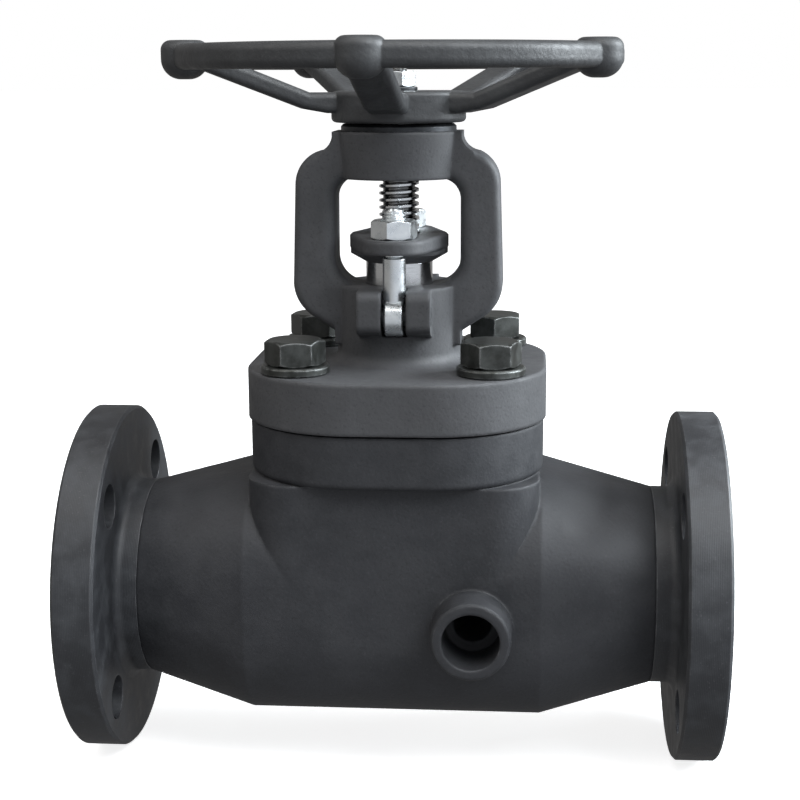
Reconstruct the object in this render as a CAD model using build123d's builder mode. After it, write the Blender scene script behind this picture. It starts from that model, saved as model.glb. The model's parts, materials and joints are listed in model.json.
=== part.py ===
"""Bolted-bonnet globe valve, NPS 2, with welded Class 150 end flanges and an outside screw and yoke.

Origin at the centre of the inlet flange's raised face, +X along the flow, +Z along the stem.
Lengths are in millimetres, and the valve stands closed.
"""
import os
from math import cos, radians, tan

from build123d import *

os.makedirs("parts", exist_ok=True)

# ---- driving dimensions -------------------------------------------------------------------
FACE_TO_FACE = 280.0
STEM_X = FACE_TO_FACE / 2

# end flanges: NPS 2 Class 150, raised face
FLANGE_OD = 152.4
FLANGE_THICK = 18.0
RAISED_FACE_OD = 92.1
RAISED_FACE = 2.0
FLANGE_PCD = 120.65
FLANGE_HOLE = 19.05
FLANGE_BORE = 50.0
HUB_OD = 86.0
BODY_HALF = 110.0          # stem axis to the weld at each end
FLANGE_EDGE = 1.2          # chamfer of the flange's edges
HUB_FILLET = 4.0
THROAT = 12.0              # length over which the flange bore narrows to the port
THROAT_ANGLE = 28.4

# body forging
PORT_R = 18.5
BLOCK_HALF = 62.0          # half-length of the thick middle
BLOCK_Y = 56.0
BLOCK_TOP = 53.0
BLOCK_BOTTOM = -52.5
BLOCK_CORNER = 40.0
RISER_Z = 56.0             # underside of the body's top flange
RISER_CORNER = 20.0
TOP_FLANGE_FILLET = 2.5
CHAMBER_R = 38.0
CHAMBER_FLOOR = 10.0
JOINT_Z = 78.0             # top face of the body's top flange
GASKET_GAP = 1.0           # gap left between the two flanges
TOP_FLANGE = 125.0
TOP_FLANGE_CORNER = 47.0
INLET_RUNS = ((-BODY_HALF, 0), (-80, 0), (-30, -25), (0, -25), (0, -8))    # X from the stem, and Z
OUTLET_RUNS = ((BODY_HALF, 0), (48, 0), (30, 40))

# drain boss on the outlet side, with a blind socket and a hole on to the outlet passage
DRAIN_X = STEM_X + 33.7
DRAIN_Z = -3.8
DRAIN_FACE_Y = -72.0
DRAIN_BOSS_R = 16.2
DRAIN_BOSS_LENGTH = 40.0
DRAIN_BOSS_DRAFT = 3.0
DRAIN_SOCKET_R = 11.9
DRAIN_SOCKET_DEPTH = 24.0
DRAIN_HOLE_R = 8.0
DRAIN_MOUTH = 0.8          # chamfer round the socket's mouth and the boss's face

# bonnet joint
BONNET_FLANGE = 127.0
BONNET_FLANGE_CORNER = 48.0
BONNET_TOP = 100.2
BONNET_FLANGE_FILLET = 1.2
SPIGOT = 4.0               # depth to which the bonnet enters the chamber
BOLT_X = 40.5
BOLT_Y = 38.0
BOLT_D = 14.0
BOLT_AF = 22.0
BOLT_HEAD = 10.5
BOLT_END_Z = 62.0
BOLT_CLEARANCE = 0.75
BOLT_TURNS = (10, 10, 0, 30)   # how far each head happens to be turned, degrees
BOLT_BED = 1.5             # depth of the blind holes below the bolts
POINT = 1.2                # chamfer at the bolts' points
WASHER_OD = 28.5
WASHER_THICK = 3.6
WASHER_EDGE = 0.6
GASKET_IN = 39.0
GASKET_OUT = 46.0
GASKET_THICK = 3.2

# seat, disc and stem
SEAT_BORE_R = 18.0
SEAT_OUT_R = 22.0
SEAT_TOP = 12.0
SEAT_DEPTH = 16.0
SEAT_BEVEL = 2.0
DISC_R = 21.0
DISC_TOP = 30.0
DISC_CAVITY_R = 13.0
DISC_FLOOR = 15.0
DISC_BOTTOM = 8.0
DISC_CONE = ((17.4, 9.82), (20.4, 12.82))    # seating cone, against the seat ring's bevel
DISC_NUT_FLATS = 32.0
DISC_NUT_HEAD = 6.0
DISC_NUT_DEPTH = 8.0       # how far the nut enters the disc
BUTTON_R = 11.0
BUTTON_H = 6.4
GAP = 0.3                  # clearance between pieces that move past each other
LIFT = 18.0
STEM_R = 8.5
THREAD_PITCH = 3.0
THREAD_DEPTH = 1.7
THREAD_FROM = 152.0
THREAD_ROOT = 0.36         # half the ridge's width at its root, as a share of the pitch
THREAD_CREST = 0.17
THREAD_SINK = 0.25         # how far the ridge sinks into the shank
COLLAR_Z = 52.0
COLLAR_R = 11.5
COLLAR_H = 3.0
BUSHING_R = 13.5
BUSHING_BOTTOM = COLLAR_Z + COLLAR_H + LIFT + GAP
BUSHING_TOP = 86.0
BUSHING_BEVEL = 3.3

# stuffing box and gland
BOX_R = 14.5
BOX_BOTTOM = 90.0
RING_THICK = 6.0
RING_COUNT = 5
BASE_WASHER = 3.0
RING_EDGE = 0.4
GLAND_R = 14.3
GLAND_EDGE = 0.6
GLAND_SPIGOT = 3.0         # neck of the bushing that enters the gland flange
GLAND_SPIGOT_R = 11.0
GLAND_SHOULDER = 142.8     # top of the gland bushing, where the gland flange bears
GLAND_RIM = 146.4          # where the gland flange's cone ends
GLAND_RIM_R = 20.85
GLAND_TOP = 154.6
GLAND_DISC_R = 21.15
EAR_BOTTOM = 149.0
EAR_R = 13.5
EAR_HOLE_R = 5.6
EAR_EDGE = 0.8
EYEBOLT_Y = 27.0
EYEBOLT_R = 4.8
EYE_R = 8.0
EYE_THICK = 7.8
PIN_Z = 122.0
PIN_R = 4.0
PIN_SLACK = 0.05
EYEBOLT_TOP = 167.2
EYEBOLT_THREAD_FROM = 146.6
EYEBOLT_NECK_R = 3.6
EYEBOLT_THREAD = 0.8       # depth of the thread
EYEBOLT_PITCH = 1.5
GLAND_NUT_AF = 17.0
GLAND_NUT_H = 8.0
GLAND_NUT_TURNS = (17, 0)     # front and rear, degrees

# yoke
YOKE_HALF = 44.0
WINDOW_HALF = 26.6
WINDOW_BOTTOM = 133.2
WINDOW_TOP = 178.2
WINDOW_CORNER = 8.6        # upper corners
WINDOW_FOOT_CORNER = 12.0
WINDOW_FILLET = 5.0        # rounding of the window's edges, front and rear
ARM_FILLET = 3.0
FOOT_Z = 108.0
YOKE_TOP = 197.8
YOKE_BOSS_R = 27.2
YOKE_BOSS_DRAFT = 5.0
YOKE_NUT_R = 14.0
YOKE_NUT_EDGE = 1.0
NUT_FLANGE_R = 24.5
NUT_FLANGE = 3.0
ARM_DEPTH = 25.0
NECK_R = 26.8
NECK_FILLET = 5.0
LUG_HALF = 15.2
LUG_REACH = 35.5
LUG_BOTTOM = 116.5
LUG_SLOT = 10.6
LUG_ROOT = 15.0            # how far out from the stem the lug starts, inside the neck
LUG_CORNER = 4.0
SLOT_INNER = EYEBOLT_Y - EYE_R - 0.6
SLOT_BOTTOM = PIN_Z - EYE_R - 0.6

# handwheel
HUB_R = 28.5
HUB_BOTTOM = 201.4
HUB_TOP = 214.4
SQUARE = 11.0              # square on the stem that drives the wheel
RIM_R = 88.0
RIM_BOTTOM = 223.4
RIM_TOP = 233.6
RIM_WIDTH = 12.0
RIM_FILLET = 3.6
HUB_EDGE = 2.0
KNOB_R = 89.0
KNOB_SIZE = 19.5
KNOB_BOTTOM = 219.5
KNOB_TOP = 235.3
KNOB_LOWER_FILLET = 8.0
KNOB_UPPER_FILLET = 4.0
SPOKES = 5
SPOKE_START = -22.5
SPOKE_WIDTH = 17.0
SPOKE_FILLET = 2.8
SPOKE_LOWER = ((18, 205.4), (31, 205.4), (41, 207.2), (84, 223.8))    # radius and Z
SPOKE_UPPER = ((84, 232.2), (38, 213.9), (18, 213.9))
WHEEL_NUT_AF = 13.0
WHEEL_NUT_H = 6.5
WHEEL_WASHER_H = 1.6
STUD_R = 4.0
STUD_THREAD = 0.6
STUD_PITCH = 1.25
STUD_PROUD = 3.5

NUT_FACE = 0.97            # where a nut's corner chamfer starts, as a share of half the width across flats
NUT_CHAMFER = 30.0         # degrees

STEM_AXIS = Axis((STEM_X, 0, 0), (0, 0, 1))
FRONT = Plane(origin=(STEM_X, 0, 0), x_dir=(1, 0, 0), z_dir=(0, -1, 0))    # X and Z through the stem


def level(z, x=STEM_X, y=0.0):
    """Horizontal plane at height z."""
    return Plane(origin=(x, y, z), x_dir=(1, 0, 0), z_dir=(0, 0, 1))


def across(x):
    """Plane across the pipe at x, with Y to its right and Z up."""
    return Plane(origin=(x, 0, 0), x_dir=(0, 1, 0), z_dir=(1, 0, 0))


def save(piece, name):
    """Label a finished piece and write its STEP file."""
    piece.label = name
    export_step(piece, f"parts/{name}.step")


def turned(outline, axis_y=0.0):
    """Solid turned about the vertical line x = STEM_X, y = axis_y from an outline of (radius, z)."""
    plane = Plane(origin=(STEM_X, axis_y, 0), x_dir=(1, 0, 0), z_dir=(0, -1, 0))
    with BuildPart() as piece:
        with BuildSketch(plane):
            with BuildLine():
                Polyline(*outline, close=True)
            make_face()
        revolve(axis=Axis((STEM_X, axis_y, 0), (0, 0, 1)))
    return piece.part


def ring(inner, outer, bottom, top, edge):
    """Flat ring about the stem axis, with its four edges broken by a small chamfer."""
    return turned([
        (inner + edge, bottom), (outer - edge, bottom), (outer, bottom + edge), (outer, top - edge),
        (outer - edge, top), (inner + edge, top), (inner, top - edge), (inner, bottom + edge),
    ])


def thread(root_r, depth, pitch, bottom, length, axis_y=0.0):
    """Helical ridge of a trapezoidal thread about a vertical axis."""
    half_root = THREAD_ROOT * pitch
    half_crest = THREAD_CREST * pitch
    with BuildPart() as ridge:
        with BuildLine() as path:
            Helix(pitch=pitch, height=length, radius=root_r, center=(STEM_X, axis_y, bottom))
        start = Plane(origin=path.line @ 0, x_dir=(1, 0, 0), z_dir=path.line % 0)
        with BuildSketch(start):
            with BuildLine():
                Polyline((-THREAD_SINK, -half_root), (0, -half_root), (depth, -half_crest),
                         (depth, half_crest), (0, half_root), (-THREAD_SINK, half_root), close=True)
            make_face()
        sweep(path=path.line, is_frenet=True)
    return ridge.part


def hexagon(x, y, bottom, height, flats, bore=0.0, turn=0.0):
    """Hexagonal head or nut with its corners chamfered at both ends."""
    corner = flats / 2 / cos(radians(30))
    face = flats / 2 * NUT_FACE
    cut = (corner - face) * tan(radians(NUT_CHAMFER))
    with BuildPart() as piece:
        with BuildSketch(level(bottom, x, y)):
            RegularPolygon(radius=corner, side_count=6, rotation=turn)
        extrude(amount=height)
        with BuildSketch(Plane(origin=(x, y, bottom), x_dir=(1, 0, 0), z_dir=(0, -1, 0))):
            with BuildLine():
                Polyline((0, 0), (face, 0), (corner, cut), (corner, height - cut), (face, height),
                         (0, height), close=True)
            make_face()
        revolve(axis=Axis((x, y, 0), (0, 0, 1)), mode=Mode.INTERSECT)
        if bore:
            with BuildSketch(level(bottom, x, y)):
                Circle(bore)
            extrude(amount=height, mode=Mode.SUBTRACT)
    return piece.part


# ---- body ---------------------------------------------------------------------------------
# Forging with a thick middle that tapers to round ends. It holds the two passages, the chamber
# above the seat and a drain boss on the outlet side.
with BuildPart() as top_flange:
    with BuildSketch(level(RISER_Z)):
        RectangleRounded(TOP_FLANGE, TOP_FLANGE - 0.6, TOP_FLANGE_CORNER)
    extrude(amount=JOINT_Z - RISER_Z)
    fillet(top_flange.edges().group_by(Axis.Z)[0], TOP_FLANGE_FILLET)

DRAIN_FACE = Plane(origin=(DRAIN_X, DRAIN_FACE_Y, DRAIN_Z), x_dir=(1, 0, 0), z_dir=(0, 1, 0))
with BuildPart() as drain_boss:
    with BuildSketch(DRAIN_FACE):
        Circle(DRAIN_BOSS_R)
    extrude(amount=DRAIN_BOSS_LENGTH, taper=-DRAIN_BOSS_DRAFT)
    chamfer(drain_boss.edges().group_by(Axis.Y)[0], DRAIN_MOUTH)

with BuildPart() as body:
    with BuildSketch(across(STEM_X - BLOCK_HALF)):
        with Locations((0, (BLOCK_TOP + BLOCK_BOTTOM) / 2)):
            RectangleRounded(2 * BLOCK_Y, BLOCK_TOP - BLOCK_BOTTOM, BLOCK_CORNER)
    extrude(amount=2 * BLOCK_HALF)
    for side in (-1, 1):
        with BuildSketch(across(STEM_X + side * BLOCK_HALF)):
            with Locations((0, (BLOCK_TOP + BLOCK_BOTTOM) / 2)):
                RectangleRounded(2 * BLOCK_Y, BLOCK_TOP - BLOCK_BOTTOM, BLOCK_CORNER)
        with BuildSketch(across(STEM_X + side * BODY_HALF)):
            RectangleRounded(HUB_OD, HUB_OD, HUB_OD / 2 - 0.05)
        loft()
    with BuildSketch(level(0)):
        RectangleRounded(2 * BLOCK_HALF - 2, 2 * BLOCK_Y, RISER_CORNER)
    extrude(amount=RISER_Z)
    add(top_flange.part)
    add(drain_boss.part)

    # chamber, gasket recess and seat pocket
    for radius, bottom, top in ((CHAMBER_R, CHAMBER_FLOOR, JOINT_Z),
                                (GASKET_OUT + GAP, JOINT_Z + GASKET_GAP - GASKET_THICK, JOINT_Z),
                                (SEAT_OUT_R, SEAT_TOP - SEAT_DEPTH, CHAMBER_FLOOR)):
        with BuildSketch(level(bottom)):
            Circle(radius)
        extrude(amount=top - bottom, mode=Mode.SUBTRACT)

    # passages: each run is a round hole that ends in a ball
    for runs in (INLET_RUNS, OUTLET_RUNS):
        for (x0, z0), (x1, z1) in zip(runs, runs[1:]):
            run = Vector(x1 - x0, 0, z1 - z0)
            with BuildSketch(Plane(origin=(STEM_X + x0, 0, z0), x_dir=(0, 1, 0), z_dir=run)):
                Circle(PORT_R)
            extrude(amount=run.length, mode=Mode.SUBTRACT)
            with Locations((STEM_X + x1, 0, z1)):
                Sphere(PORT_R, mode=Mode.SUBTRACT)
    for side in (-1, 1):
        mouth = Plane(origin=(STEM_X + side * BODY_HALF, 0, 0), x_dir=(0, 1, 0), z_dir=(-side, 0, 0))
        with BuildSketch(mouth):
            Circle(FLANGE_BORE / 2)
        extrude(amount=THROAT, taper=THROAT_ANGLE, mode=Mode.SUBTRACT)

    # drain: a socket, then a hole into the outlet passage
    for radius, depth in ((DRAIN_SOCKET_R, DRAIN_SOCKET_DEPTH), (DRAIN_HOLE_R, -DRAIN_FACE_Y)):
        with BuildSketch(DRAIN_FACE):
            Circle(radius)
        extrude(amount=depth, mode=Mode.SUBTRACT)

    # blind holes for the bonnet bolts
    with BuildSketch(level(JOINT_Z)):
        with GridLocations(2 * BOLT_X, 2 * BOLT_Y, 2, 2):
            Circle(BOLT_D / 2 + PIN_SLACK)
    extrude(amount=BOLT_END_Z - BOLT_BED - JOINT_Z, mode=Mode.SUBTRACT)
save(body.part, "valve_body")


# ---- end flanges --------------------------------------------------------------------------
def end_flange(side):
    """Raised-face flange with a short hub, welded to the body's end; side is -1 at the inlet."""
    edge = FLANGE_EDGE
    hub_r = HUB_OD / 2
    rim_r = FLANGE_OD / 2
    bore_r = FLANGE_BORE / 2
    back = RAISED_FACE + FLANGE_THICK
    end = STEM_X - BODY_HALF
    face_x = STEM_X + side * STEM_X
    section = Plane(origin=(face_x, 0, 0), x_dir=(-side, 0, 0), z_dir=(0, side, 0))
    face = Plane(origin=(face_x, 0, 0), x_dir=(0, 1, 0), z_dir=(-side, 0, 0))
    with BuildPart() as flange:
        with BuildSketch(section):
            with BuildLine():
                Polyline((0, bore_r), (0, RAISED_FACE_OD / 2), (RAISED_FACE, RAISED_FACE_OD / 2),
                         (RAISED_FACE, rim_r - edge), (RAISED_FACE + edge, rim_r), (back - edge, rim_r),
                         (back, rim_r - edge), (back, hub_r), (end, hub_r), (end, bore_r), close=True)
            make_face()
        revolve(axis=Axis.X)
        fillet(flange.edges().filter_by(GeomType.CIRCLE).filter_by(
            lambda e: abs(e.radius - hub_r) < 0.1 and abs(abs(e.center().X - face_x) - back) < 0.1), HUB_FILLET)
        with BuildSketch(face):
            with PolarLocations(FLANGE_PCD / 2, 4, start_angle=45):
                Circle(FLANGE_HOLE / 2)
        extrude(amount=back, mode=Mode.SUBTRACT)
    return flange.part


save(end_flange(-1), "inlet_flange")
save(end_flange(1), "outlet_flange")

# ---- seat and bonnet joint ------------------------------------------------------------------
save(turned([
    (SEAT_BORE_R, SEAT_TOP - SEAT_DEPTH), (SEAT_OUT_R, SEAT_TOP - SEAT_DEPTH), (SEAT_OUT_R, SEAT_TOP),
    (SEAT_BORE_R + SEAT_BEVEL, SEAT_TOP), (SEAT_BORE_R, SEAT_TOP - SEAT_BEVEL),
]), "seat_ring")
GASKET_TOP = JOINT_Z + GASKET_GAP
save(ring(GASKET_IN, GASKET_OUT, GASKET_TOP - GASKET_THICK, GASKET_TOP, GAP), "bonnet_gasket")

with BuildPart() as washers:
    with BuildSketch(level(BONNET_TOP)):
        with GridLocations(2 * BOLT_X, 2 * BOLT_Y, 2, 2):
            Circle(WASHER_OD / 2)
            Circle(BOLT_D / 2 + 0.5, mode=Mode.SUBTRACT)
    extrude(amount=WASHER_THICK)
    chamfer(washers.edges().filter_by(GeomType.CIRCLE).filter_by(lambda e: e.radius > BOLT_D), WASHER_EDGE)
save(washers.part, "bonnet_washers")

bolt_solids = []
for (x_side, y_side), turn in zip(((-1, -1), (1, -1), (-1, 1), (1, 1)), BOLT_TURNS):
    bolt_x = STEM_X + x_side * BOLT_X
    bolt_y = y_side * BOLT_Y
    head = hexagon(bolt_x, bolt_y, BONNET_TOP + WASHER_THICK, BOLT_HEAD, BOLT_AF, turn=turn)
    with BuildPart() as bolt:
        add(head)
        with BuildSketch(level(BOLT_END_Z, bolt_x, bolt_y)):
            Circle(BOLT_D / 2)
        extrude(amount=BONNET_TOP + WASHER_THICK - BOLT_END_Z)
        chamfer(bolt.edges().group_by(Axis.Z)[0], POINT)
    bolt_solids.append(bolt.part)
save(Compound(children=bolt_solids), "bonnet_bolts")

# ---- bonnet and yoke ------------------------------------------------------------------------

# frame of the yoke, seen from the front: two arms round a window, rounded on every long edge
with BuildPart() as frame:
    with BuildSketch(FRONT):
        with BuildLine():
            base = Polyline((0, FOOT_Z), (NECK_R, FOOT_Z), (NECK_R, 113.5), (37.6, 120.6))
            foot = JernArc(start=base @ 1, tangent=(1, 0.75), radius=17.5, arc_size=50)
            arm = Line(foot @ 1, (YOKE_HALF - 0.8, 175.5))
            shoulder = ThreePointArc(arm @ 1, (40.4, 184.3), (34.3, 189.3))
            neck = ThreePointArc(shoulder @ 1, (29.4, 191.4), (YOKE_BOSS_R, 195.5))
            Polyline(neck @ 1, (YOKE_BOSS_R, YOKE_TOP), (0, YOKE_TOP))
            mirror(about=Plane.YZ)
        make_face()
    extrude(amount=ARM_DEPTH / 2, both=True)
    outer_edges = frame.edges().filter_by(lambda e: abs(e.center().X - STEM_X) > 35 and e.center().Z > 125)
    fillet(outer_edges.filter_by(lambda e: abs(abs(e.center().Y) - ARM_DEPTH / 2) < 0.1), ARM_FILLET)

with BuildPart() as window:
    with BuildSketch(FRONT) as opening:
        with Locations((0, (WINDOW_BOTTOM + WINDOW_TOP) / 2)):
            Rectangle(2 * WINDOW_HALF, WINDOW_TOP - WINDOW_BOTTOM)
        fillet(opening.vertices().group_by(Axis.Y)[0], WINDOW_FOOT_CORNER)
        fillet(opening.vertices().group_by(Axis.Y)[-1], WINDOW_CORNER)
    extrude(amount=ARM_DEPTH, both=True)

with BuildPart() as yoke:
    add(frame.part)
    add(window.part, mode=Mode.SUBTRACT)
    window_edges = yoke.edges().filter_by(lambda e: abs(e.center().X - STEM_X) < WINDOW_HALF + 0.1)
    front_edges = window_edges.filter_by(lambda e: abs(abs(e.center().Y) - ARM_DEPTH / 2) < 0.1)
    fillet(front_edges.filter_by(lambda e: WINDOW_BOTTOM - 1 < e.center().Z < WINDOW_TOP + 1), WINDOW_FILLET)

with BuildPart() as bonnet:
    with BuildSketch(level(JOINT_Z + GASKET_GAP)):
        RectangleRounded(BONNET_FLANGE, BONNET_FLANGE, BONNET_FLANGE_CORNER)
    extrude(amount=BONNET_TOP - JOINT_Z - GASKET_GAP)
    fillet(bonnet.edges().group_by(Axis.Z)[-1], BONNET_FLANGE_FILLET)
    with BuildSketch(level(JOINT_Z + GASKET_GAP - SPIGOT)):
        Circle(CHAMBER_R - GAP)
    extrude(amount=SPIGOT)
    with BuildSketch(level(BONNET_TOP)):
        Circle(NECK_R)
    extrude(amount=WINDOW_BOTTOM - BONNET_TOP)
    fillet(bonnet.edges().filter_by(GeomType.CIRCLE).filter_by(
        lambda e: abs(e.radius - NECK_R) < 0.1 and abs(e.center().Z - BONNET_TOP) < 0.1), NECK_FILLET)
    with BuildSketch(level(YOKE_TOP)):
        Circle(YOKE_BOSS_R)
    extrude(amount=WINDOW_TOP - YOKE_TOP, taper=YOKE_BOSS_DRAFT)
    add(yoke.part)

    # lugs for the two eye bolts, front and rear
    for side in (-1, 1):
        with BuildSketch(across(STEM_X - LUG_HALF)) as lug:
            with BuildLine():
                Polyline((side * LUG_ROOT, LUG_BOTTOM - 6), (side * LUG_REACH, LUG_BOTTOM),
                         (side * LUG_REACH, WINDOW_BOTTOM), (side * LUG_ROOT, WINDOW_BOTTOM), close=True)
            make_face()
            outer_corners = lug.vertices().filter_by(lambda v: abs(v.X) > LUG_REACH - 1)
            fillet(outer_corners, LUG_CORNER)
        extrude(amount=2 * LUG_HALF)

    # stuffing box, stem hole and the bushing's pocket below it
    for radius, bottom, top in ((BOX_R, BOX_BOTTOM, WINDOW_BOTTOM + 1),
                                (STEM_R + GAP, BUSHING_TOP, BOX_BOTTOM),
                                (BUSHING_R, JOINT_Z + GASKET_GAP - SPIGOT, BUSHING_TOP),
                                (YOKE_NUT_R, WINDOW_TOP - 2, YOKE_TOP)):
        with BuildSketch(level(bottom)):
            Circle(radius)
        extrude(amount=top - bottom, mode=Mode.SUBTRACT)
    for side in (-1, 1):
        middle = side * (SLOT_INNER + LUG_REACH + 2) / 2
        with BuildSketch(level(SLOT_BOTTOM, STEM_X, middle)):
            Rectangle(LUG_SLOT, LUG_REACH + 2 - SLOT_INNER)
        extrude(amount=WINDOW_BOTTOM + 2 - SLOT_BOTTOM, mode=Mode.SUBTRACT)
        with BuildSketch(across(STEM_X - LUG_HALF)):
            with Locations((side * EYEBOLT_Y, PIN_Z)):
                Circle(PIN_R + PIN_SLACK)
        extrude(amount=2 * LUG_HALF, mode=Mode.SUBTRACT)
    with BuildSketch(level(BONNET_TOP)):
        with GridLocations(2 * BOLT_X, 2 * BOLT_Y, 2, 2):
            Circle(BOLT_D / 2 + BOLT_CLEARANCE)
    extrude(amount=JOINT_Z + GASKET_GAP - BONNET_TOP, mode=Mode.SUBTRACT)
save(bonnet.part, "bonnet_yoke")

STEM_HOLE_R = STEM_R + GAP
save(turned([
    (STEM_HOLE_R, BUSHING_BOTTOM + BUSHING_BEVEL), (STEM_HOLE_R + BUSHING_BEVEL, BUSHING_BOTTOM),
    (BUSHING_R, BUSHING_BOTTOM), (BUSHING_R, BUSHING_TOP), (STEM_HOLE_R, BUSHING_TOP),
]), "backseat_bushing")

save(turned([
    (STEM_HOLE_R, WINDOW_TOP), (YOKE_NUT_R - YOKE_NUT_EDGE, WINDOW_TOP),
    (YOKE_NUT_R, WINDOW_TOP + YOKE_NUT_EDGE),
    (YOKE_NUT_R, YOKE_TOP), (NUT_FLANGE_R, YOKE_TOP), (NUT_FLANGE_R, YOKE_TOP + NUT_FLANGE - YOKE_NUT_EDGE),
    (NUT_FLANGE_R - YOKE_NUT_EDGE, YOKE_TOP + NUT_FLANGE), (STEM_HOLE_R, YOKE_TOP + NUT_FLANGE),
]), "yoke_nut")

# ---- packing and gland ------------------------------------------------------------------------
RING_R = BOX_R - 0.1
save(ring(STEM_HOLE_R, RING_R, BOX_BOTTOM, BOX_BOTTOM + BASE_WASHER, RING_EDGE), "packing_washer")

packing_solids = []
for index in range(RING_COUNT):
    ring_bottom = BOX_BOTTOM + BASE_WASHER + index * RING_THICK
    packing_solids.append(ring(STEM_HOLE_R, RING_R, ring_bottom, ring_bottom + RING_THICK, RING_EDGE))
save(Compound(children=packing_solids), "packing_rings")

PACKING_TOP = BOX_BOTTOM + BASE_WASHER + RING_COUNT * RING_THICK
save(turned([
    (STEM_HOLE_R, PACKING_TOP), (GLAND_R - GLAND_EDGE, PACKING_TOP), (GLAND_R, PACKING_TOP + GLAND_EDGE),
    (GLAND_R, GLAND_SHOULDER), (GLAND_SPIGOT_R, GLAND_SHOULDER),
    (GLAND_SPIGOT_R, GLAND_SHOULDER + GLAND_SPIGOT), (STEM_HOLE_R, GLAND_SHOULDER + GLAND_SPIGOT),
]), "gland_bushing")

with BuildPart() as gland:
    with BuildSketch(level(EAR_BOTTOM)):
        with GridLocations(0, 2 * EYEBOLT_Y, 1, 2):
            Circle(EAR_R)
        Circle(GLAND_DISC_R)
        make_hull()
    extrude(amount=GLAND_TOP - EAR_BOTTOM)
    chamfer(gland.edges().group_by(Axis.Z)[-1], EAR_EDGE)
    with BuildSketch(FRONT):
        with BuildLine():
            Polyline((0, GLAND_SHOULDER), (GLAND_R + GAP, GLAND_SHOULDER), (GLAND_RIM_R, GLAND_RIM),
                     (GLAND_RIM_R, EAR_BOTTOM), (0, EAR_BOTTOM), close=True)
        make_face()
    revolve(axis=STEM_AXIS)
    with BuildSketch(level(GLAND_SHOULDER)):
        Circle(GLAND_SPIGOT_R + PIN_SLACK)
    extrude(amount=GLAND_SPIGOT, mode=Mode.SUBTRACT)
    with BuildSketch(level(GLAND_SHOULDER)):
        Circle(STEM_R + 2 * GAP)
    extrude(amount=GLAND_TOP - GLAND_SHOULDER, mode=Mode.SUBTRACT)
    with BuildSketch(level(EAR_BOTTOM)):
        with GridLocations(0, 2 * EYEBOLT_Y, 1, 2):
            Circle(EAR_HOLE_R)
    extrude(amount=GLAND_TOP - EAR_BOTTOM, mode=Mode.SUBTRACT)
save(gland.part, "gland_flange")


def eyebolt(y):
    """Eye bolt that stands on its pin, with a helical thread at its top."""
    depth = EYEBOLT_THREAD
    root_r = EYEBOLT_R - depth
    low = EYEBOLT_THREAD_FROM
    shank = PIN_Z + PIN_R + 1
    with BuildPart() as piece:
        with BuildSketch(across(STEM_X - EYE_THICK / 2)):
            with Locations((y, PIN_Z)):
                Circle(EYE_R)
                Circle(PIN_R + PIN_SLACK, mode=Mode.SUBTRACT)
        extrude(amount=EYE_THICK)
        chamfer(piece.edges().filter_by(GeomType.CIRCLE).filter_by(lambda e: e.radius > PIN_R + 1), GLAND_EDGE)
        with BuildSketch(FRONT.offset(-y)):
            with BuildLine():
                Polyline((0, shank), (EYEBOLT_NECK_R, shank), (EYEBOLT_R, shank + 2), (EYEBOLT_R, low),
                         (root_r, low + depth), (root_r, EYEBOLT_TOP - depth),
                         (root_r - depth, EYEBOLT_TOP), (0, EYEBOLT_TOP), close=True)
            make_face()
        revolve(axis=Axis((STEM_X, y, 0), (0, 0, 1)))
        ridge_from = low + EYEBOLT_PITCH
        add(thread(root_r, depth, EYEBOLT_PITCH, ridge_from, EYEBOLT_TOP - ridge_from - EYEBOLT_PITCH, y))
    return piece.part


for end, y, turn in (("front", -EYEBOLT_Y, GLAND_NUT_TURNS[0]), ("rear", EYEBOLT_Y, GLAND_NUT_TURNS[1])):
    save(eyebolt(y), f"gland_eyebolt_{end}")
    nut = hexagon(STEM_X, y, GLAND_TOP, GLAND_NUT_H, GLAND_NUT_AF, bore=EYEBOLT_R + GAP, turn=turn)
    save(nut, f"gland_nut_{end}")
    with BuildPart() as pin:
        with BuildSketch(across(STEM_X - LUG_HALF)):
            with Locations((y, PIN_Z)):
                Circle(PIN_R)
        extrude(amount=2 * LUG_HALF)
        chamfer(pin.edges().filter_by(GeomType.CIRCLE), RING_EDGE)
    save(pin.part, f"eyebolt_pin_{end}")

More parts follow.
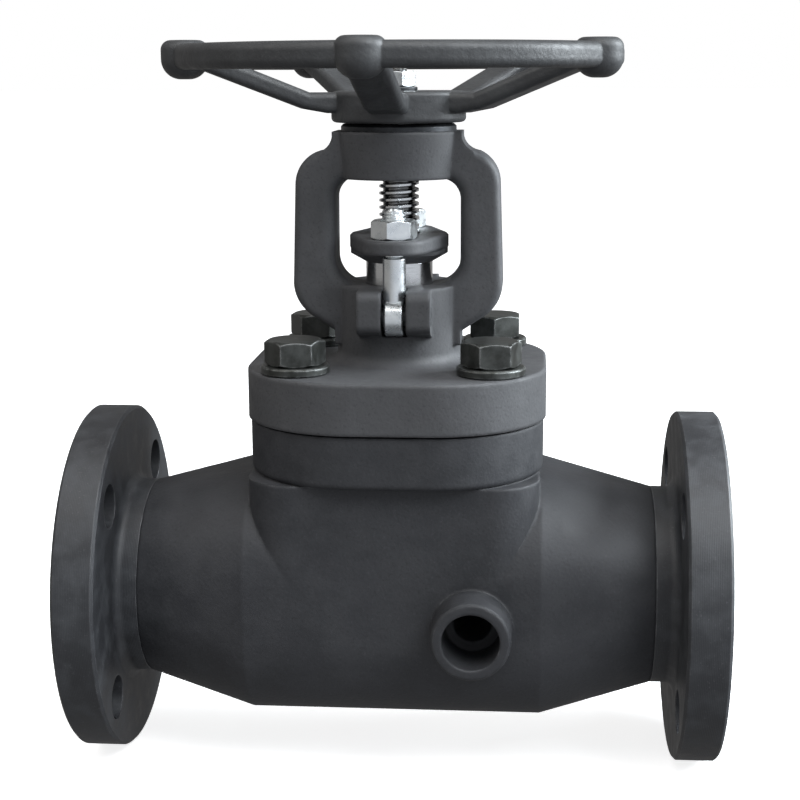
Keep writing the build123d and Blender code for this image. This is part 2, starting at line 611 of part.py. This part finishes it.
# ---- stem and disc ----------------------------------------------------------------------------
THREAD_ROOT_R = STEM_R - THREAD_DEPTH
SHANK_R = STEM_R - 0.2     # plain end of the stem, inside the yoke nut's top
SHANK_Z = HUB_BOTTOM - 2.2
BUTTON_Z = DISC_FLOOR + GAP
STUD_Z = HUB_TOP - 1
RIDGE_FROM = THREAD_FROM + THREAD_PITCH
STUD_LENGTH = WHEEL_WASHER_H + WHEEL_NUT_H
with BuildPart() as stem:
    with BuildSketch(FRONT):
        with BuildLine():
            Polyline((0, BUTTON_Z), (BUTTON_R, BUTTON_Z), (BUTTON_R, BUTTON_Z + BUTTON_H),
                     (STEM_R, BUTTON_Z + BUTTON_H), (STEM_R, COLLAR_Z), (COLLAR_R, COLLAR_Z),
                     (COLLAR_R, COLLAR_Z + COLLAR_H), (STEM_R, COLLAR_Z + 2 * COLLAR_H), (STEM_R, THREAD_FROM),
                     (THREAD_ROOT_R, THREAD_FROM + THREAD_DEPTH), (THREAD_ROOT_R, SHANK_Z),
                     (SHANK_R, SHANK_Z), (SHANK_R, HUB_BOTTOM), (0, HUB_BOTTOM), close=True)
        make_face()
    revolve(axis=STEM_AXIS)
    add(thread(THREAD_ROOT_R, THREAD_DEPTH, THREAD_PITCH, RIDGE_FROM, SHANK_Z - RIDGE_FROM - 2))
    with BuildSketch(level(HUB_BOTTOM)):
        Rectangle(SQUARE, SQUARE)
        Circle(SQUARE * 0.66, mode=Mode.INTERSECT)
    extrude(amount=STUD_Z - HUB_BOTTOM)
    with BuildSketch(level(STUD_Z)):
        Circle(STUD_R - STUD_THREAD)
    extrude(amount=STUD_LENGTH + STUD_PROUD)
    stud_from = HUB_TOP + STUD_PITCH / 3
    add(thread(STUD_R - STUD_THREAD, STUD_THREAD, STUD_PITCH, stud_from, STUD_LENGTH + STUD_PITCH))
save(stem.part, "stem")

DISC_BORE = ((DISC_CAVITY_R, DISC_TOP), (DISC_CAVITY_R, DISC_FLOOR), (0, DISC_FLOOR))
save(turned([
    (0, DISC_BOTTOM), (DISC_CONE[0][0] - 0.4, DISC_BOTTOM), *DISC_CONE, (DISC_R, DISC_CONE[1][1] + 1),
    (DISC_R, DISC_TOP - 1), (DISC_R - 1, DISC_TOP), *DISC_BORE,
]), "disc")

NUT_Z = DISC_TOP - DISC_NUT_DEPTH
with BuildPart() as disc_nut:
    with BuildSketch(level(NUT_Z)):
        Circle(DISC_CAVITY_R)
    extrude(amount=DISC_NUT_DEPTH)
    add(hexagon(STEM_X, 0, DISC_TOP, DISC_NUT_HEAD, DISC_NUT_FLATS))
    with BuildSketch(level(NUT_Z)):
        Circle(STEM_HOLE_R)
    extrude(amount=DISC_NUT_DEPTH + DISC_NUT_HEAD, mode=Mode.SUBTRACT)
save(disc_nut.part, "disc_nut")

# ---- handwheel ----------------------------------------------------------------------------------
with BuildPart() as spoke:
    with BuildSketch(FRONT):
        with BuildLine():
            Polyline(*SPOKE_LOWER, *SPOKE_UPPER, close=True)
        make_face()
    extrude(amount=SPOKE_WIDTH / 2, both=True)
    fillet(spoke.edges().filter_by(Axis.Y, reverse=True).filter_by(
        lambda e: abs(abs(e.center().Y) - SPOKE_WIDTH / 2) < 0.1 and e.length > 8.6), SPOKE_FILLET)

with BuildPart() as knob:
    with BuildSketch(level(KNOB_BOTTOM, STEM_X + KNOB_R)):
        Circle(KNOB_SIZE / 2)
    extrude(amount=KNOB_TOP - KNOB_BOTTOM)
    fillet(knob.edges().group_by(Axis.Z)[0], KNOB_LOWER_FILLET)
    fillet(knob.edges().group_by(Axis.Z)[-1], KNOB_UPPER_FILLET)

with BuildPart() as wheel:
    with BuildSketch(FRONT):
        with Locations((RIM_R, (RIM_TOP + RIM_BOTTOM) / 2)):
            RectangleRounded(RIM_WIDTH, RIM_TOP - RIM_BOTTOM, RIM_FILLET)
    revolve(axis=STEM_AXIS)
    with BuildSketch(level(HUB_BOTTOM)):
        Circle(HUB_R)
    extrude(amount=HUB_TOP - HUB_BOTTOM)
    fillet(wheel.edges().filter_by(GeomType.CIRCLE).filter_by(lambda e: abs(e.radius - HUB_R) < 0.1), HUB_EDGE)
    for index in range(SPOKES):
        angle = SPOKE_START + index * 360 / SPOKES
        add(spoke.part.rotate(STEM_AXIS, angle))
        add(knob.part.rotate(STEM_AXIS, angle))
    with BuildSketch(level(HUB_BOTTOM)):
        Rectangle(SQUARE + GAP, SQUARE + GAP)
    extrude(amount=HUB_TOP - HUB_BOTTOM, mode=Mode.SUBTRACT)
save(wheel.part, "handwheel")

save(ring(STUD_R + GAP, 2 * STUD_R, HUB_TOP, HUB_TOP + WHEEL_WASHER_H, GAP), "handwheel_washer")
wheel_nut = hexagon(STEM_X, 0, HUB_TOP + WHEEL_WASHER_H, WHEEL_NUT_H, WHEEL_NUT_AF, bore=STUD_R + 0.1, turn=-14)
save(wheel_nut, "handwheel_nut")
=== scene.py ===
"""Looks of the flanged globe valve: a finish for each CAD piece, the floor, the lights and the camera.

Lengths are in metres, in the frame of the CAD model: +X along the flow, +Z up the stem.
"""
import json
from math import cos, pi, radians, sin

import bpy
from mathutils import Matrix, Vector


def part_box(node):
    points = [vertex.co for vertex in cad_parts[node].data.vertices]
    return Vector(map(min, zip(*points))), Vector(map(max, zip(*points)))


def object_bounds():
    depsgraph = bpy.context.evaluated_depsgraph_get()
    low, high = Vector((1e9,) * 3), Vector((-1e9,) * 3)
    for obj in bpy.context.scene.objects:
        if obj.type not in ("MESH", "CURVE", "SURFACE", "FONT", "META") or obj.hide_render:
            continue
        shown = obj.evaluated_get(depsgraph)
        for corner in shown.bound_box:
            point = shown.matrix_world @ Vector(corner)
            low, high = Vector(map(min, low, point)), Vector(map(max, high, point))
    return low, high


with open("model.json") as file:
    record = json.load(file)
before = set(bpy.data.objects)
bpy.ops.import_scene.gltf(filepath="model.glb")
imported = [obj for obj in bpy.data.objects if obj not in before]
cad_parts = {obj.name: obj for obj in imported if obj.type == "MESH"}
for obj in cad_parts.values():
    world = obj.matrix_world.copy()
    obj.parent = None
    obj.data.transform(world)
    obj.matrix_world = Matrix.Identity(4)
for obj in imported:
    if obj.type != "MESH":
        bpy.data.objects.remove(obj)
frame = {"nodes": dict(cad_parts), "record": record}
cad_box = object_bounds()

STEM_X = sum(corner.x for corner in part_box("stem")) / 2
FLOOR_Z = cad_box[0].z
JOINT_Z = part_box("valve_body")[1].z     # between the body and the bonnet
BODY_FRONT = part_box("valve_body")[0].y  # face of the drain boss
DRAIN = (0.1737, 0, -0.0038)            # on the axis of the drain's socket
DRAIN_R = 0.0120
DRAIN_END = -0.020                      # y just inside the outlet passage, where the drain ends and the painted shade in its socket stops


# ---- a small kit for procedural finishes ------------------------------------------------------
class Finish:
    """A procedural material: one Principled shader and the nodes that feed it."""

    def __init__(self, name, **sockets):
        self.material = bpy.data.materials.new(name)
        self.material.use_nodes = True
        self.tree = self.material.node_tree
        self.shader = self.tree.nodes["Principled BSDF"]
        for socket, value in sockets.items():
            self.shader.inputs[socket.replace("_", " ")].default_value = value
        self.place = self.add("ShaderNodeTexCoord").outputs["Object"]

    def add(self, kind, **settings):
        node = self.tree.nodes.new(kind)
        for key, value in settings.items():
            setattr(node, key, value)
        return node

    def feed(self, socket, value):
        """Link a node's output to a socket, or set the socket to a plain value."""
        if isinstance(value, bpy.types.NodeSocket):
            self.tree.links.new(value, socket)
        else:
            socket.default_value = value

    def math(self, operation, *values):
        node = self.add("ShaderNodeMath", operation=operation)
        for socket, value in zip(node.inputs, values):
            self.feed(socket, value)
        return node.outputs[0]

    def vector(self, operation, *values):
        node = self.add("ShaderNodeVectorMath", operation=operation)
        for socket, value in zip(node.inputs, values):
            self.feed(socket, value)
        return node.outputs["Value" if operation in ("LENGTH", "DOT_PRODUCT") else "Vector"]

    def noise(self, size, detail=4.0, roughness=0.55, stretch=(1, 1, 1)):
        """Cloudy noise, 0 to 1, in lumps about size metres across."""
        node = self.add("ShaderNodeTexNoise")
        self.feed(node.inputs["Vector"], self.vector("MULTIPLY", self.place, stretch))
        node.inputs["Scale"].default_value = 1 / size
        node.inputs["Detail"].default_value = detail
        node.inputs["Roughness"].default_value = roughness
        return node.outputs["Fac"]

    def grains(self, size):
        """Rounded grains about size metres across: 0 at a grain's centre, 1 between grains."""
        node = self.add("ShaderNodeTexVoronoi", feature="F1")
        self.feed(node.inputs["Vector"], self.place)
        node.inputs["Scale"].default_value = 1 / size
        return node.outputs["Distance"]

    def span(self, value, low, high, to_low=0.0, to_high=1.0):
        """Stretch low..high to to_low..to_high, and hold it at both ends."""
        node = self.add("ShaderNodeMapRange")
        for socket, number in zip(node.inputs, (value, low, high, to_low, to_high)):
            self.feed(socket, number)
        return node.outputs[0]

    def mix(self, amount, first, second):
        """Colour that goes from first to second as amount goes from 0 to 1."""
        node = self.add("ShaderNodeMix", data_type="RGBA")
        self.feed(node.inputs["Factor"], amount)
        for socket, colour in zip((node.inputs[6], node.inputs[7]), (first, second)):
            self.feed(socket, colour if isinstance(colour, bpy.types.NodeSocket) else (*colour, 1))
        return node.outputs[2]

    def edges(self, width):
        """1 along sharp edges, fading to 0 over width."""
        rounded = self.add("ShaderNodeBevel", samples=6)
        rounded.inputs["Radius"].default_value = width
        own = self.add("ShaderNodeNewGeometry").outputs["Normal"]
        return self.span(self.vector("DOT_PRODUCT", rounded.outputs[0], own), 0.985, 0.82)

    def from_axis(self, axis, centre):
        """Distance from the line through centre along axis."""
        across = tuple(0.0 if index == axis else 1.0 for index in range(3))
        offset = self.vector("SUBTRACT", self.place, centre)
        return self.vector("LENGTH", self.vector("MULTIPLY", offset, across))

    def along(self, axis):
        split = self.add("ShaderNodeSeparateXYZ")
        self.feed(split.inputs[0], self.place)
        return split.outputs[axis]

    def grooves(self, value, pitch):
        """Fine waves, -1 to 1, one for each pitch of value."""
        return self.math("SINE", self.math("MULTIPLY", value, 2 * pi / pitch))

    def total(self, *parts):
        """Sum of (value, factor) pairs."""
        result = 0.0
        for value, factor in parts:
            result = self.math("MULTIPLY_ADD", value, factor, result)
        return result

    def finish(self, colour, roughness, height, depth, soft_edge):
        """Feed the shader: height is a relief of depth metres, over edges rounded by soft_edge."""
        self.feed(self.shader.inputs["Base Color"], colour)
        self.feed(self.shader.inputs["Roughness"], roughness)
        rounded = self.add("ShaderNodeBevel", samples=6)
        rounded.inputs["Radius"].default_value = soft_edge
        bump = self.add("ShaderNodeBump")
        bump.inputs["Strength"].default_value = 1.0
        bump.inputs["Distance"].default_value = depth
        self.feed(bump.inputs["Height"], height)
        self.feed(bump.inputs["Normal"], rounded.outputs[0])
        self.feed(self.shader.inputs["Normal"], bump.outputs[0])
        return self.material


# ---- finishes -----------------------------------------------------------------------------------
def forged_black():
    """Shot-blasted forging under a grey-black phosphate."""
    f = Finish("forged_black", Specular_IOR_Level=0.45)
    blotches = f.span(f.noise(0.05, 3), 0.35, 0.65)
    clouds = f.noise(0.012, 5, 0.6)
    specks = f.noise(0.0012, 2, 0.6)
    body = f.mix(blotches, (0.022, 0.023, 0.026), (0.030, 0.031, 0.035))
    bonnet = f.mix(blotches, (0.055, 0.056, 0.059), (0.074, 0.075, 0.079))
    colour = f.mix(f.span(f.along(2), JOINT_Z - 0.0002, JOINT_Z + 0.0002), body, bonnet)
    colour = f.mix(f.span(clouds, 0.4, 0.75, 0, 0.5), colour, (0.050, 0.051, 0.055))
    colour = f.mix(f.span(specks, 0.6, 0.8, 0, 0.2), colour, (0.09, 0.09, 0.10))
    colour = f.mix(f.span(specks, 0.42, 0.30, 0, 0.35), colour, (0.015, 0.015, 0.016))
    # Lighter patches along the edges: partly worn paint, partly a painted highlight along the edges.
    worn_and_lit_edges = f.math("MULTIPLY", f.edges(0.0012), f.span(f.noise(0.006, 4), 0.45, 0.7))
    colour = f.mix(f.math("MULTIPLY", worn_and_lit_edges, 0.45), colour, (0.20, 0.20, 0.21))
    # Painted shade: the drain socket's wall is darkened from just past its mouth to its far end, where
    # shade falls in the hole.
    in_drain = f.span(f.from_axis(1, DRAIN), DRAIN_R, DRAIN_R - 0.0004)
    past_mouth = f.span(f.along(1), BODY_FRONT + 0.004, BODY_FRONT + 0.010)
    shade_in_socket = f.math("MULTIPLY", past_mouth, f.span(f.along(1), DRAIN_END, DRAIN_END - 0.005))
    colour = f.mix(f.math("MULTIPLY", in_drain, shade_in_socket), colour, (0.030, 0.031, 0.034))
    roughness = f.span(clouds, 0.3, 0.7, 0.52, 0.72)
    relief = f.total((specks, 0.5), (f.grains(0.0016), 0.35), (f.noise(0.009, 3), 1.6))
    return f.finish(colour, roughness, relief, 0.00012, 0.0020)


def flange_black():
    """Turned flange: fine tool marks under the same phosphate."""
    f = Finish("flange_black", Specular_IOR_Level=0.5)
    blotches = f.span(f.noise(0.04, 3), 0.35, 0.65)
    clouds = f.noise(0.010, 5, 0.6)
    specks = f.noise(0.0010, 2, 0.6)
    colour = f.mix(blotches, (0.022, 0.023, 0.026), (0.032, 0.034, 0.038))
    colour = f.mix(f.span(clouds, 0.45, 0.75, 0, 0.6), colour, (0.065, 0.069, 0.075))
    colour = f.mix(f.span(specks, 0.62, 0.8, 0, 0.4), colour, (0.12, 0.12, 0.13))
    # Lighter patches along the edges: partly worn paint, partly a painted highlight along the edges.
    worn_and_lit_edges = f.math("MULTIPLY", f.edges(0.0012), f.span(f.noise(0.008, 4), 0.4, 0.65))
    colour = f.mix(f.math("MULTIPLY", worn_and_lit_edges, 0.5), colour, (0.24, 0.24, 0.25))
    turned = f.grooves(f.from_axis(0, (0, 0, 0)), 0.0006)
    rim_marks = f.grooves(f.along(0), 0.0007)
    roughness = f.span(clouds, 0.3, 0.7, 0.42, 0.62)
    relief = f.total((turned, 0.10), (rim_marks, 0.10), (specks, 0.35), (f.noise(0.006, 3), 0.8))
    return f.finish(colour, roughness, relief, 0.00010, 0.0007)


def wheel_black():
    """Cast wheel under thick matt paint."""
    f = Finish("wheel_black", Specular_IOR_Level=0.5)
    clouds = f.noise(0.02, 4)
    peel = f.noise(0.0022, 2, 0.5)
    grit = f.noise(0.0007, 2)
    colour = f.mix(f.span(clouds, 0.35, 0.65), (0.030, 0.031, 0.033), (0.044, 0.046, 0.048))
    colour = f.mix(f.span(grit, 0.6, 0.8, 0, 0.4), colour, (0.10, 0.10, 0.10))
    # Lighter patches along the edges: partly worn paint, partly a painted highlight along the edges.
    worn_and_lit_edges = f.math("MULTIPLY", f.edges(0.0014), f.span(f.noise(0.007, 4), 0.5, 0.7))
    colour = f.mix(f.math("MULTIPLY", worn_and_lit_edges, 0.5), colour, (0.16, 0.16, 0.165))
    roughness = f.span(f.noise(0.006, 4), 0.3, 0.7, 0.42, 0.60)
    relief = f.total((peel, 1.0), (grit, 0.25), (f.noise(0.014, 3), 2.2))
    return f.finish(colour, roughness, relief, 0.00018, 0.0010)


def bolt_steel():
    """Dark olive oxide, lighter on the corners: partly rubbed bright, partly a painted highlight."""
    f = Finish("bolt_steel", Metallic=0.85)
    clouds = f.noise(0.006, 5, 0.6)
    grit = f.noise(0.0008, 3)
    colour = f.mix(f.span(clouds, 0.35, 0.65), (0.050, 0.052, 0.048), (0.095, 0.10, 0.095))
    # Lighter corners: partly rubbed bright, partly a painted highlight along the edges.
    worn_and_lit_edges = f.math("MULTIPLY", f.edges(0.0016), f.span(f.noise(0.003, 4), 0.35, 0.6))
    colour = f.mix(f.math("MULTIPLY", worn_and_lit_edges, 0.8), colour, (0.42, 0.43, 0.43))
    roughness = f.span(clouds, 0.3, 0.7, 0.34, 0.52)
    relief = f.total((grit, 0.4), (clouds, 0.8))
    return f.finish(colour, roughness, relief, 0.00008, 0.0006)


def zinc_steel():
    """Bright zinc plate with a faint cloudy passivation."""
    f = Finish("zinc_steel", Metallic=1.0)
    clouds = f.noise(0.005, 4)
    grit = f.noise(0.0005, 2)
    colour = f.mix(f.span(clouds, 0.35, 0.65), (0.78, 0.82, 0.84), (0.90, 0.93, 0.94))
    colour = f.mix(f.span(f.noise(0.002, 5), 0.6, 0.75, 0, 0.4), colour, (0.45, 0.47, 0.46))
    # Edges pulled towards a light grey: partly wear, partly a painted highlight along the edges.
    worn_and_lit_edges = f.edges(0.0006)
    colour = f.mix(f.math("MULTIPLY", worn_and_lit_edges, 0.4), colour, (0.85, 0.86, 0.86))
    roughness = f.span(clouds, 0.3, 0.7, 0.22, 0.36)
    relief = f.total((grit, 0.5), (clouds, 0.5))
    return f.finish(colour, roughness, relief, 0.00004, 0.0004)


def stainless():
    """Ground stainless steel with fine turning marks and a dark film of grease in the threads."""
    f = Finish("stainless", Metallic=1.0)
    radius = f.from_axis(2, (STEM_X, 0, 0))
    marks = f.grooves(f.along(2), 0.00035)
    streaks = f.noise(0.004, 4, 0.6, stretch=(1, 1, 12))
    greasy = f.math("MULTIPLY", f.span(radius, 0.0078, 0.0070), f.span(streaks, 0.3, 0.6, 0.5, 1.0))
    colour = f.mix(f.span(streaks, 0.35, 0.65), (0.74, 0.75, 0.76), (0.88, 0.89, 0.90))
    colour = f.mix(greasy, colour, (0.06, 0.058, 0.055))
    roughness = f.span(streaks, 0.3, 0.7, 0.12, 0.22)
    relief = f.total((marks, 0.2), (streaks, 0.6))
    return f.finish(colour, roughness, relief, 0.00002, 0.0004)


def dark_nut():
    """Dark steel, made darker still as painted shade for the shadow that the handwheel hub casts on
    it.
    """
    f = Finish("dark_nut", Metallic=0.7)
    clouds = f.noise(0.005, 4)
    # Painted shade: these dark colours also stand in for the shade under the handwheel hub.
    colour = f.mix(f.span(clouds, 0.35, 0.65), (0.030, 0.032, 0.036), (0.055, 0.058, 0.062))
    # Lighter patches along the edges: partly wear, partly a painted highlight along the edges.
    worn_and_lit_edges = f.math("MULTIPLY", f.edges(0.0008), f.span(f.noise(0.003, 4), 0.4, 0.6))
    colour = f.mix(f.math("MULTIPLY", worn_and_lit_edges, 0.6), colour, (0.30, 0.30, 0.31))
    roughness = f.span(clouds, 0.3, 0.7, 0.32, 0.48)
    relief = f.total((f.grooves(f.from_axis(2, (STEM_X, 0, 0)), 0.0005), 0.1), (clouds, 0.6))
    return f.finish(colour, roughness, relief, 0.00005, 0.0004)


def graphite():
    """Pressed graphite foil."""
    f = Finish("graphite", Metallic=0.3)
    flakes = f.noise(0.0012, 5, 0.7, stretch=(1, 1, 6))
    colour = f.mix(f.span(flakes, 0.35, 0.65), (0.020, 0.020, 0.022), (0.06, 0.06, 0.065))
    roughness = f.span(flakes, 0.3, 0.7, 0.35, 0.6)
    return f.finish(colour, roughness, flakes, 0.00010, 0.0003)


def gasket():
    """Spiral-wound gasket: steel windings with graphite between them."""
    f = Finish("gasket", Metallic=0.8)
    winding = f.span(f.grooves(f.from_axis(2, (STEM_X, 0, 0)), 0.0009), -0.3, 0.3)
    colour = f.mix(winding, (0.025, 0.025, 0.027), (0.40, 0.40, 0.41))
    roughness = f.span(winding, 0, 1, 0.6, 0.3)
    return f.finish(colour, roughness, winding, 0.00010, 0.0003)


FINISHES = (forged_black, flange_black, wheel_black, bolt_steel, zinc_steel, stainless, dark_nut,
            graphite, gasket)
made = {finish.__name__: finish() for finish in FINISHES}
for part in frame["record"]["subparts"]:
    node = frame["nodes"][part["node"]]
    node.data.materials.clear()
    node.data.materials.append(made[part["material_slot"]])


# ---- floor --------------------------------------------------------------------------------------
def pale_floor():
    f = Finish("pale_floor", Emission_Color=(1, 1, 1, 1), Emission_Strength=0.80)
    clouds = f.noise(0.3, 3)
    colour = f.mix(f.span(clouds, 0.35, 0.65), (0.86, 0.86, 0.86), (0.90, 0.90, 0.90))
    return f.finish(colour, 0.7, f.noise(0.01, 3), 0.0001, 0.001)


FLOOR_SIZE = 60.0
bpy.ops.mesh.primitive_plane_add(size=FLOOR_SIZE, location=(STEM_X, 0, FLOOR_Z))
floor = bpy.context.object
floor.name = "floor"
floor.data.materials.append(pale_floor())
floor.visible_diffuse = False
floor.visible_glossy = False

# ---- light --------------------------------------------------------------------------------------
# The camera sees a white wall. The light that falls on the valve comes from a dimmer room, brighter
# and cooler towards the front right.
ROOM_BRIGHT_SIDE = (0.55, -0.60, -0.05)
ROOM_DIM = (0.26, 0.255, 0.25, 1)
ROOM_BRIGHT = (0.62, 0.65, 0.70, 1)
world = bpy.data.worlds.new("studio")
world.use_nodes = True
room = world.node_tree
shade = room.nodes["Background"]
direction = room.nodes.new("ShaderNodeTexCoord")
sideways = room.nodes.new("ShaderNodeVectorMath")
sideways.operation = "DOT_PRODUCT"
sideways.inputs[1].default_value = ROOM_BRIGHT_SIDE
room.links.new(direction.outputs["Generated"], sideways.inputs[0])
ramp = room.nodes.new("ShaderNodeValToRGB")
ramp.color_ramp.elements[0].position = 0.0
ramp.color_ramp.elements[0].color = ROOM_DIM
ramp.color_ramp.elements[1].position = 0.9
ramp.color_ramp.elements[1].color = ROOM_BRIGHT
room.links.new(sideways.outputs["Value"], ramp.inputs[0])
seen = room.nodes.new("ShaderNodeLightPath")
choose = room.nodes.new("ShaderNodeMix")
choose.data_type = "RGBA"
room.links.new(seen.outputs["Is Camera Ray"], choose.inputs["Factor"])
room.links.new(ramp.outputs["Color"], choose.inputs[6])
choose.inputs[7].default_value = (1, 1, 1, 1)
room.links.new(choose.outputs[2], shade.inputs["Color"])
bpy.context.scene.world = world
bpy.context.scene.view_settings.view_transform = "Standard"

AIM = Vector((STEM_X, 0, 0.08))


def softbox(name, azimuth, elevation, distance, size, power, colour):
    """Square area light that faces the valve. Azimuth 0 is in front, 90 on the right."""
    data = bpy.data.lights.new(name, "AREA")
    data.size = size
    data.energy = power
    data.color = colour
    lamp = bpy.data.objects.new(name, data)
    bpy.context.scene.collection.objects.link(lamp)
    around, above = radians(azimuth), radians(elevation)
    away = Vector((sin(around) * cos(above), -cos(around) * cos(above), sin(above)))
    lamp.location = AIM + away * distance
    lamp.rotation_euler = away.to_track_quat("Z", "Y").to_euler()


softbox("key", 98, 24, 1.4, 0.8, 46, (0.88, 0.95, 1.0))
softbox("front", 45, 45, 1.5, 0.7, 14, (0.93, 0.97, 1.0))
softbox("top", -10, 72, 1.5, 1.2, 11, (1.0, 0.99, 0.98))
softbox("left", -60, 40, 1.6, 0.9, 4, (1.0, 0.97, 0.93))

# ---- camera -------------------------------------------------------------------------------------
CAMERA_AT = (0.1947227, -0.686617, 0.221126)
LENS = 72.218              # mm, on a sensor 36 mm wide
YAW = 0.0795883            # to the left of +Y
PITCH = 0.2001988          # below the horizon
ROLL = -0.00468978
camera = bpy.data.objects.new("camera", bpy.data.cameras.new("camera"))
bpy.context.scene.collection.objects.link(camera)
camera.data.lens = LENS
camera.data.sensor_width = 36.0
camera.data.clip_start = 0.01
turn = (Matrix.Rotation(YAW, 4, "Z") @ Matrix.Rotation(pi / 2 - PITCH, 4, "X")
        @ Matrix.Rotation(ROLL, 4, "Z"))
camera.matrix_world = Matrix.Translation(CAMERA_AT) @ turn
bpy.context.scene.camera = camera
